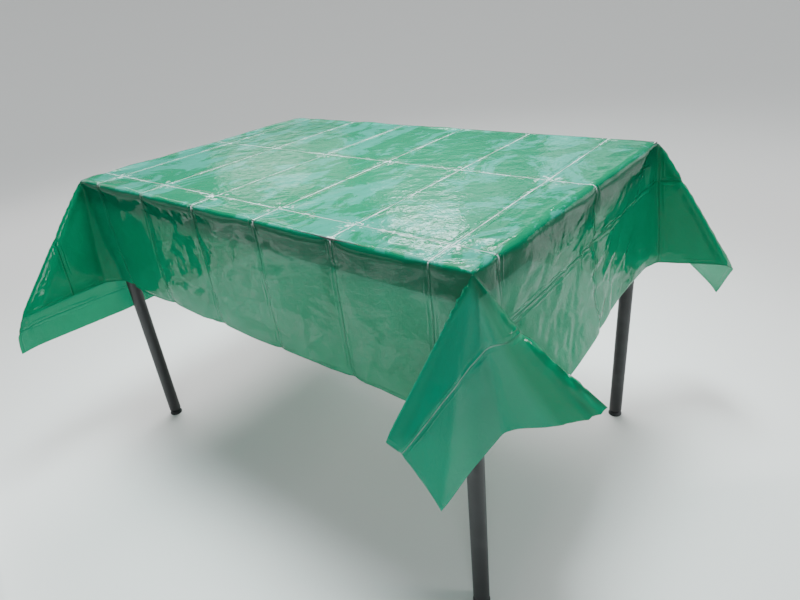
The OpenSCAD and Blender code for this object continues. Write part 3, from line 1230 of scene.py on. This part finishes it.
def cubic_weights(count: int, fine: Array) -> Array:
    """Matrix that reads a line of points between them, by a cubic (Catmull-Rom) curve.

    Args:
        count: number of points on the line.
        fine: places to read at, counted in points from the first.

    Returns:
        Matrix of (places, points); each row sums to 1.
    """
    base = np.clip(fine.astype(int), 0, count - 2)
    t = fine - base
    weights = np.zeros((len(fine), count))
    terms = (-0.5 * t + t**2 - 0.5 * t**3, 1 - 2.5 * t**2 + 1.5 * t**3,
             0.5 * t + 2 * t**2 - 1.5 * t**3, -0.5 * t**2 + 0.5 * t**3)
    rows = np.arange(len(fine))
    for offset, term in zip((-1, 0, 1, 2), terms):
        np.add.at(weights, (rows, np.clip(base + offset, 0, count - 1)), term)
    return weights


def surface_normals(points: Array) -> Array:
    """Unit normals of a grid of points, outwards: the cross product of its two gradients, reversed."""
    normal = -np.cross(np.gradient(points, axis=1), np.gradient(points, axis=0))
    return normal / (np.linalg.norm(normal, axis=-1, keepdims=True) + TINY**2)


@dataclass(frozen=True)
class CreaseSet:
    """A family of short creases of like size and lie.

    Attributes:
        count: how many on the whole sheet.
        half_length: smallest and largest half length.
        height: smallest and largest height.
        lie: middle and spread of their direction, in degrees from the sheet's length.
        box: lowest and highest (X, Y) of their middles.
        at_crossings: if set, how far their middles scatter about the crossings of the folds.
        sharpness: how far a crease reaches to its sides, as a share of its half length.
        cut_off: where it is cut off, in half lengths from its middle.
    """

    count: int
    half_length: tuple[float, float]
    height: tuple[float, float]
    lie: tuple[float, float] = (90.0, 90.0)
    box: tuple[float, float, float, float] = (-0.955, -0.65, 0.875, 0.72)
    at_crossings: float = 0.0
    sharpness: float = 0.2
    cut_off: float = 1.5


@dataclass
class Crumple:
    """Folds and crumples, as heights above the smooth film on the flat sheet.

    Attributes:
        cut: the flat sheet.
        seed: start of the random draws.
        fold_height, fold_reach: height of the packing folds and half width across and along.
        peak_height, peak_reach: height and reach of the peaks where folds cross.
        hanging_swell: (size, height) of the swellings of the drops.
        lying_swells: the same for the film on the table, largest last.
        lying_rise: mean height of the film on the table.
        lying_share: how much of the crumples is left on the table.
        ear_calm: how much of swellings and crumples is taken off the ears.
        blend_run: flat distance beyond the edge over which lying turns into hanging.
        ear_run, ear_lead: flat distance over which an ear's calm sets in, and the share of it that
            lies before the ear.
        fold_rows, fold_columns: first fold of each kind that crosses, and the one past the last.
        sets: the families of creases, drawn in this order.
    """

    cut: ClothCut
    seed: int = 5
    fold_height: float = 0.0024
    fold_reach: tuple[float, float] = (0.009, 0.011)
    peak_height: float = 0.0030
    peak_reach: float = 0.014
    hanging_swell: tuple[float, float] = (0.11, 0.0024)
    lying_swells: tuple[tuple[float, float], ...] = ((0.07, 0.0007), (0.032, 0.00035), (0.15, 0.0012))
    lying_rise: float = 0.0014
    lying_share: float = 0.30
    ear_calm: float = 0.85
    blend_run: float = 0.04
    ear_run: float = 0.05
    ear_lead: float = 0.4
    fold_rows: tuple[int, int] = (-1, 2)
    fold_columns: tuple[int, int] = (-5, 4)
    sets: tuple[CreaseSet, ...] = (
        CreaseSet(120, (0.05, 0.15), (0.0008, 0.0030)),
        CreaseSet(1100, (0.008, 0.035), (0.0003, 0.0012)),
        # the front drop: shallow slanting creases
        CreaseSet(60, (0.03, 0.10), (0.0010, 0.0026), (40.0, 50.0), (-0.58, -0.64, 0.58, -0.40)),
        # the right drop: many steep sharp ones
        CreaseSet(80, (0.015, 0.055), (0.0008, 0.0024), (130.0, 30.0), (0.60, -0.33, 0.86, 0.24)),
        # a tall pleat over the right edge, just in front of the back corner
        CreaseSet(5, (0.035, 0.060), (0.0040, 0.0075), (150.0, 20.0), (0.585, 0.300, 0.625, 0.335)),
        # the right drop's hem
        CreaseSet(40, (0.02, 0.05), (0.0008, 0.0022), (90.0, 40.0), (0.76, -0.40, 0.87, 0.36)),
        # stars about the crossings of the packing folds
        CreaseSet(260, (0.012, 0.035), (0.0016, 0.0042), at_crossings=0.022),
    )

    def fold_lines(self, grid: FlatGrid) -> Array:
        """Ridges along the packing folds, and a peak where two cross.

        With d the distance from a fold, a ridge is h/(1 + (d/w)^2) and a peak p e^(-(d1 + d2)/r).

        Args:
            grid: the grid of points.

        Returns:
            The height at each point.
        """
        to_cross, to_length = self.cut.from_folds(grid)
        ridges = self.fold_height / (1 + (to_cross / self.fold_reach[0]) ** 2)
        ridges += self.fold_height / (1 + (to_length / self.fold_reach[1]) ** 2)
        return ridges + self.peak_height * np.exp(-(to_cross + to_length) / self.peak_reach)

    def swell(self, grid: FlatGrid, size: float, height: float, seed: int) -> Array:
        """Soft random swellings: cubic curves through random heights on a lattice.

        Args:
            grid: the grid of points.
            size: distance between lattice points.
            height: standard height.
            seed: which random field.

        Returns:
            The height at each point.
        """
        margin = 4  # a lattice point before the sheet, and enough past it for the cubic curves
        rows, cols = (int(side / size) + margin for side in (self.cut.width, self.cut.length))
        lattice = np.random.default_rng(seed).normal(0.0, height, (rows, cols))
        read_y = cubic_weights(rows, (grid.across - grid.across[0]) / size + 1.0)
        read_x = cubic_weights(cols, (grid.along - grid.along[0]) / size + 1.0)
        return read_y @ lattice @ read_x.T

    def creases(self, grid: FlatGrid, kind: CreaseSet, seed: int) -> Array:
        """Short random creases, each a sharp ridge that dies away to its sides and ends.

        A crease with middle c, direction u, half length L and side reach w adds
        h e^(-|s|/w) e^-(t/L)^4, with s and t the distances across and along it.

        Args:
            grid: the grid of points.
            kind: the family of creases.
            seed: which random draw.

        Returns:
            The height at each point.
        """
        rng = np.random.default_rng(seed)
        flat_x, flat_y = grid.points
        total = np.zeros_like(flat_x)
        middles = rng.uniform(kind.box[:2], kind.box[2:], (kind.count, 2))
        if kind.at_crossings:
            cut = self.cut
            across = rng.integers(*self.fold_rows, kind.count) * cut.length_fold_gap + cut.first_length_fold
            along = rng.integers(*self.fold_columns, kind.count) * cut.cross_fold_gap + cut.first_cross_fold
            along -= cut.cross_fold_slant * np.clip(across, -cut.slant_reach, cut.slant_reach)
            middles = np.stack([along, across], -1) + rng.normal(0, kind.at_crossings, middles.shape)
        turns = np.radians(rng.uniform(-kind.lie[1], kind.lie[1], kind.count) + kind.lie[0])
        halves = rng.uniform(*kind.half_length, kind.count)
        heights = rng.uniform(*kind.height, kind.count) * rng.choice((-1.0, 1.0), kind.count)
        first = np.array((grid.along[0], grid.across[0]))
        step = np.array((grid.along[1], grid.across[1])) - first
        for middle, turn, half, high in zip(middles, turns, halves, heights):
            low = np.maximum((middle - kind.cut_off * half - first) / step, 0).astype(int)
            top = np.maximum((middle + kind.cut_off * half - first) / step + 1, 0).astype(int)
            row, col = slice(low[1], top[1]), slice(low[0], top[0])
            dx, dy = flat_x[row, col] - middle[0], flat_y[row, col] - middle[1]
            side = np.abs(-math.sin(turn) * dx + math.cos(turn) * dy)
            run = (math.cos(turn) * dx + math.sin(turn) * dy) / half
            total[row, col] += high * np.exp(-side / (kind.sharpness * half)) * np.exp(-run**4)
        return total

    def total(self, grid: FlatGrid, table: TableForm) -> Array:
        """All folds, swellings and creases together; on the table they only rise.

        Args:
            grid: the grid of points.
            table: the table, which keeps the film on it flatter.

        Returns:
            The height at each point.
        """
        beyond = grid.beyond(table.half)
        hanging = np.clip(np.maximum(*beyond) / self.blend_run, 0.0, 1.0)
        calm = 1.0 - self.ear_calm * np.clip(np.minimum(*beyond) / self.ear_run + self.ear_lead, 0.0, 1.0)
        crumples = calm * sum(self.creases(grid, kind, self.seed + n) for n, kind in enumerate(self.sets))
        soft = calm * self.swell(grid, *self.hanging_swell, self.seed)
        low = self.lying_rise + sum(self.swell(grid, *swell, self.seed + 1 + n)
                                    for n, swell in enumerate(self.lying_swells))
        lying = np.maximum(self.lying_share * crumples + low, 0.0)
        return self.fold_lines(grid) + hanging * (crumples + soft) + (1 - hanging) * lying


@dataclass
class Tablecloth:
    """The film tablecloth, from its flat cut to the finished mesh.

    Attributes:
        cut: the flat sheet.
        finish: the film's finish.
        table: the table under it.
        ear_reach: how far the ears' hold reaches in from the corners' lines.
        front_ear_hold, ear_hold, drop_hold: how strongly the front right ear, the other ears and
            the drops keep their first shape while the film settles.
    """

    cut: ClothCut = ClothCut()
    finish: FilmFinish = FilmFinish()
    table: TableForm = field(default_factory=TableForm)
    ear_reach: float = 0.10
    front_ear_hold: float = 0.95
    ear_hold: float = 0.65
    drop_hold: float = 0.03

    def settled(self) -> Array:
        """The film's smooth shape on the full grid.

        A coarse grid is relaxed, and how far it moved is read between its points and added to the
        full grid's own start, which keeps the folds and the table's edge sharp.

        Returns:
            Points, as (across, along, 3).
        """
        drape = FilmDrape(self.cut, self.table)
        coarse, fine = self.cut.grid(self.cut.coarse), self.cut.grid()
        start = drape.cones(coarse)
        flat_x, flat_y = coarse.points
        beyond_x, beyond_y = coarse.beyond(self.table.half)
        free = (np.maximum(beyond_x, beyond_y) > 0.0).astype(float)
        in_ear = np.minimum(beyond_x, beyond_y) > -self.ear_reach
        in_front = (flat_x > 0) & (flat_y < 0)
        hold = np.where(in_ear, np.where(in_front, self.front_ear_hold, self.ear_hold), self.drop_hold)
        moved = FilmRelaxer(coarse, self.table).run(start, free, hold) - start
        # the front right ear keeps its first shape
        to_front_ear = np.minimum(flat_x - self.table.half[0], -flat_y - self.table.half[1])
        moved *= 1.0 - np.clip(to_front_ear / self.ear_reach + 1.0, 0.0, 1.0)[..., None]
        read_y, read_x = (cubic_weights(len(few), np.arange(len(many)) / self.cut.coarse)
                          for few, many in ((coarse.across, fine.across), (coarse.along, fine.along)))
        smooth = np.einsum("ij,jkc,lk->ilc", read_y, moved, read_x, optimize=True)
        return drape.round_edges(smooth + drape.cones(fine), fine)

    def wrinkled(self, smooth: Array) -> Array:
        """Adds folds and crumples to the smooth film.

        Args:
            smooth: the smooth film's points.

        Returns:
            The finished points.
        """
        grid = self.cut.grid()
        height = Crumple(self.cut).total(grid, self.table)
        points = smooth + height[..., None] * surface_normals(smooth)
        FilmRelaxer(grid, self.table).clear_table(points)
        return points

    def build(self) -> bpy.types.Object:
        """Makes the tablecloth's mesh, map and material.

        Returns:
            The finished piece.
        """
        points = self.wrinkled(self.settled())
        mesh = grid_mesh("film_tablecloth", points, self.finish.build(self.cut, self.table))
        flat = np.stack(self.cut.grid().points, -1).reshape(-1, 2)[grid_faces(*points.shape[:2]).ravel()]
        layer = mesh.uv_layers.new(name=FLAT_MAP)
        layer.data.foreach_set("uv", flat.astype(np.float32).ravel())
        mesh.validate()
        piece = linked("film_tablecloth", mesh)
        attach(piece, "cloth")
        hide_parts("tablecloth")
        return piece


# --------------------------------------------------------------------------- the table


@dataclass
class TableDress:
    """Finishes for the table's own pieces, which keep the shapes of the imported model."""

    coat: PowderCoat = PowderCoat()
    laminate: Laminate = Laminate()
    chipboard: Chipboard = Chipboard()
    edging: MouldedPlastic = MouldedPlastic("dark_edging", (0.020, 0.020, 0.021), 0.42)
    nylon: MouldedPlastic = MouldedPlastic("black_nylon", (0.013, 0.013, 0.014), 0.48)
    zinc: ZincPlate = ZincPlate()

    def dress(self) -> int:
        """Gives every node of the table its finish.

        Returns:
            How many nodes were dressed.
        """
        made = {"frame_steel": self.coat.build(), "laminate": self.laminate.build(),
                "chipboard": self.chipboard.build(), "edging": self.edging.build(),
                "foot_plastic": self.nylon.build(), "plated_steel": self.zinc.build()}
        count = 0
        for part in frame["record"]["subparts"]:
            material = made.get(part["material_slot"])
            if material is None:
                continue
            mesh = frame["nodes"][part["node"]].data
            mesh.materials.clear()
            mesh.materials.append(material)
            count += 1
        return count


# --------------------------------------------------------------------------- studio


@dataclass(frozen=True)
class SoftBox:
    """One large soft light that faces the table.

    Attributes:
        name: the light's name.
        place: where it stands.
        size: its width and height.
        power: its power, in watts.
        tint: its colour.
        spread: how widely it shines, in degrees.
    """

    name: str
    place: Direction
    size: tuple[float, float]
    power: float
    tint: Colour = (1.0, 1.0, 1.0)
    spread: float = 180.0

    def build(self, target: Vector) -> bpy.types.Object:
        """Makes the light.

        Args:
            target: the point that it faces.

        Returns:
            The light's object.
        """
        light = bpy.data.lights.new(self.name, "AREA")
        light.shape = "RECTANGLE"
        light.size, light.size_y = self.size
        light.energy = self.power
        light.spread = math.radians(self.spread)
        light.color = self.tint
        lamp = linked(self.name, light)
        lamp.location = Vector(self.place)
        lamp.rotation_euler = (target - lamp.location).to_track_quat("-Z", "Y").to_euler()
        lamp.visible_camera = False
        return lamp


@dataclass
class Studio:
    """Pale floor, soft lights, surroundings and the camera.

    Attributes:
        table: the table, on whose top the camera's place is counted and the lights are aimed.
        lens, sensor, seen: focal length and sensor width in mm, and nearest and farthest seen.
        azimuth, elevation, roll: the camera's heading, tilt down and turn about its own view.
        eye: the camera's place.
        bright_side, air_levels: way to the lighter half of the air, and how it sets in.
        dim_air, bright_air, backdrop: colours of the air's two halves and of what is seen of it.
        sun, sun_width, sun_turn: strength, angular width and tilt of the even light from above.
        floor_reach, floor_cells: half the floor's side, and how many cells it has along a side.
        level_reach, floor_rise: radius of its level part, and how fast it rises beyond that.
        boxes: the soft lights.
    """

    table: TableForm
    lens: float = 26.59
    sensor: float = 36.0
    seen: tuple[float, float] = (0.01, 60.0)
    azimuth: float = 41.77
    elevation: float = 27.52
    roll: float = -6.09
    eye: Direction = (0.9863, -0.9788, 0.3446)
    bright_side: Direction = (-0.50, 0.80, 0.33)
    air_levels: tuple[float, float] = (-0.55, 0.65)
    dim_air: Colour = (0.09, 0.10, 0.10)
    bright_air: Colour = (0.16, 0.26, 0.28)
    backdrop: Colour = (0.52, 0.525, 0.52)
    sun: float = 2.3
    sun_width: float = 50.0
    sun_turn: tuple[float, float] = (-22.0, -16.0)
    floor_reach: float = 18.0
    floor_cells: int = 60
    level_reach: float = 6.0
    floor_rise: float = 0.014
    boxes: tuple[SoftBox, ...] = (
        SoftBox("long_back_left", (-1.5, 1.6, 2.75), (2.8, 0.14), 46.0),
        SoftBox("long_left", (-2.3, 0.5, 2.6), (0.16, 2.0), 9.0),
        SoftBox("overhead", (0.1, 0.1, 2.7), (0.9, 0.7), 28.0, (0.80, 1.0, 1.0), 75.0),
        SoftBox("window_left", (-3.6, -0.4, 1.7), (1.4, 1.6), 12.0),
        SoftBox("room_right", (3.3, 1.3, 2.2), (0.6, 0.6), 36.0),
        SoftBox("near_fill", (2.3, -2.7, 2.3), (1.1, 0.9), 40.0, (0.84, 1.0, 1.0)),
        SoftBox("front_left_low", (-2.6, -3.0, 0.95), (2.2, 0.8), 7.0),
        SoftBox("back_right_low", (1.9, 3.2, 0.95), (1.4, 0.8), 6.0),
        SoftBox("low_front_a", (-0.25, -0.98, 0.05), (0.9, 0.18), 0.6),
        SoftBox("low_front_b", (-1.0, -1.35, 0.06), (1.0, 0.22), 1.0),
        SoftBox("low_front_c", (0.25, -1.7, 0.08), (1.0, 0.22), 0.2),
        SoftBox("low_right_a", (1.15, 1.05, 0.06), (0.22, 0.9), 0.5),
        SoftBox("low_right_b", (1.7, 1.75, 0.08), (0.9, 0.3), 0.5),
        SoftBox("pane_near", (-1.85, 2.62, 2.25), (0.55, 0.26), 7.0, (0.76, 1.0, 1.0)),
        SoftBox("pane_wide", (-1.80, 3.12, 1.95), (1.6, 0.34), 2.4, (0.66, 1.0, 1.0)),
        SoftBox("pane_left", (-3.33, 2.22, 1.72), (0.8, 0.24), 1.4, (0.84, 1.0, 1.0)),
        SoftBox("panel_a", (-1.0, 4.1, 1.90), (1.0, 0.6), 2.5, (0.66, 1.0, 1.0)),
        SoftBox("panel_b", (-2.3, 3.5, 2.6), (1.2, 0.7), 4.0, (0.76, 1.0, 1.0)),
        SoftBox("panel_c", (-3.3, 2.5, 1.75), (1.1, 0.5), 1.6),
        SoftBox("panel_d", (-3.9, 1.4, 2.5), (1.1, 0.7), 2.4),
    )

    def camera(self) -> bpy.types.Object:
        """Makes the camera from its angles and makes it the scene's.

        With a the heading and e the tilt down, it looks along cos e (-sin a, cos a, 0) - sin e (0, 0, 1).
        Its own right and up are then turned about that line by the roll.

        Returns:
            The camera.
        """
        turn, tilt, roll = (math.radians(a) for a in (self.azimuth, self.elevation, self.roll))
        level = Vector((math.cos(turn), math.sin(turn), 0.0))
        onward = Vector((-math.sin(turn), math.cos(turn), 0.0))
        ahead = math.cos(tilt) * onward - math.sin(tilt) * Vector((0.0, 0.0, 1.0))
        above = level.cross(ahead)
        right = math.cos(roll) * level + math.sin(roll) * above
        up = right.cross(ahead)
        data = bpy.data.cameras.new("camera")
        data.lens = self.lens
        data.sensor_width = self.sensor
        data.sensor_fit = "HORIZONTAL"
        data.dof.use_dof = False
        data.clip_start, data.clip_end = self.seen
        eye = linked("camera", data)
        turned = Matrix((right, up, -ahead)).transposed().to_4x4()
        eye.matrix_world = Matrix.Translation(Vector((0, 0, self.table.top)) + Vector(self.eye)) @ turned
        bpy.context.scene.camera = eye
        return eye

    def floor(self) -> bpy.types.Object:
        """Makes the floor: level round the table, rising gently like a bowl far away.

        Its height at distance r from the middle is c (r - r0)^2 beyond the level part r0, and it
        rises no more past the reach.

        Returns:
            The floor.
        """
        line = np.linspace(-self.floor_reach, self.floor_reach, self.floor_cells + 1)
        grid_x, grid_y = np.meshgrid(line, line)
        beyond = np.clip(np.hypot(grid_x, grid_y), self.level_reach, self.floor_reach) - self.level_reach
        points = np.stack([grid_x, grid_y, self.floor_rise * beyond**2], -1)
        piece = linked("floor", grid_mesh("floor", points, FloorFinish().build()))
        return piece

    def air(self) -> None:
        """Makes the surroundings: lighter to the back, with a plain pale backdrop straight ahead."""
        g = Graph.start(bpy.data.worlds.new("air"))
        way = g.node("ShaderNodeTexCoord", out="Generated")
        facing = g.node("ShaderNodeVectorMath", {0: way, 1: Vector(self.bright_side).normalized()},
                        out="Value", operation="DOT_PRODUCT")
        air = g.blend(facing.step(*self.air_levels), self.dim_air, self.bright_air)
        seen = g.node("ShaderNodeLightPath", out="Is Camera Ray")
        sky = g.node("ShaderNodeBackground", {"Color": g.blend(seen, air, self.backdrop)})
        bpy.context.scene.world = g.finish(sky)

    def build(self) -> None:
        """Makes the whole studio."""
        self.air()
        for box in self.boxes:
            box.build(Vector((0.0, 0.0, self.table.top)))
        sun = bpy.data.lights.new("even_light", "SUN")
        sun.energy, sun.angle = self.sun, math.radians(self.sun_width)
        lamp = linked("even_light", sun)
        lamp.rotation_euler = (*(math.radians(turn) for turn in self.sun_turn), 0.0)
        self.floor()


def main() -> None:
    """Builds the scene in order and reports each piece."""
    logging.basicConfig(level=logging.INFO, format="%(message)s")
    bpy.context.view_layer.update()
    cloth = Tablecloth()
    studio = Studio(cloth.table)
    studio.camera()
    piece = cloth.build()
    LOG.info("%s: %d points", piece.name, len(piece.data.vertices))
    LOG.info("table: %d nodes dressed", TableDress().dress())
    studio.build()


if __name__ == "__main__":
    main()
